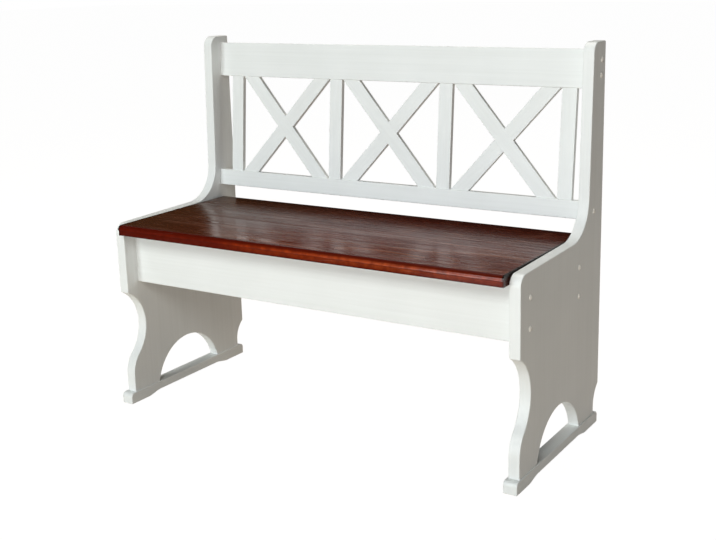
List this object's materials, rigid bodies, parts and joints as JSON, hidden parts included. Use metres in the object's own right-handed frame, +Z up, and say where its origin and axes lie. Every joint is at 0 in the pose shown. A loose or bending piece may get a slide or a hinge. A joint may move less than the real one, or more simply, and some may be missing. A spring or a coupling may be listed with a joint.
{
  "type": "bench with back",
  "caption": "Wooden bench with shaped side panels on foot rails, a dark stained seat board and a leaning back of half-lapped crosses between rails.",
  "frame": {"origin": "middle of the bounding box's underside, on the floor", "axes": "+X along the bench to the sitter's left seen from behind, that is to the right seen from the front; +Y from the front of the seat to the back; +Z up"},
  "size_m": [1.1066, 0.466, 0.902],
  "materials": {
    "white_paint": "satin painted pine",
    "stained_pine": "dark brown stain under satin lacquer",
    "painted_buttons": "satin painted wooden buttons",
    "bare_beech": "bare fluted dowel",
    "zinc_steel": "zinc plated"
  },
  "bodies": {
    "root": {"apron_screws": "zinc_steel", "back_rail_screws": "zinc_steel", "bottom_rail": "white_paint", "cleat_screws": "zinc_steel", "cross_1_falling_brace": "white_paint", "cross_1_rising_brace": "white_paint", "cross_2_falling_brace": "white_paint", "cross_2_rising_brace": "white_paint", "cross_3_falling_brace": "white_paint", "cross_3_rising_brace": "white_paint", "front_apron": "white_paint", "left_foot_dowels": "bare_beech", "left_foot_rail": "white_paint", "left_screw_buttons": "painted_buttons", "left_seat_cleat": "white_paint", "left_side_panel": "white_paint", "rear_apron": "white_paint", "right_foot_dowels": "bare_beech", "right_foot_rail": "white_paint", "right_screw_buttons": "painted_buttons", "right_seat_cleat": "white_paint", "right_side_panel": "white_paint", "seat_board": "stained_pine", "seat_screws": "zinc_steel", "stile_1": "white_paint", "stile_2": "white_paint", "stile_3": "white_paint", "stile_4": "white_paint", "top_rail": "white_paint"}
  },
  "joints": []
}
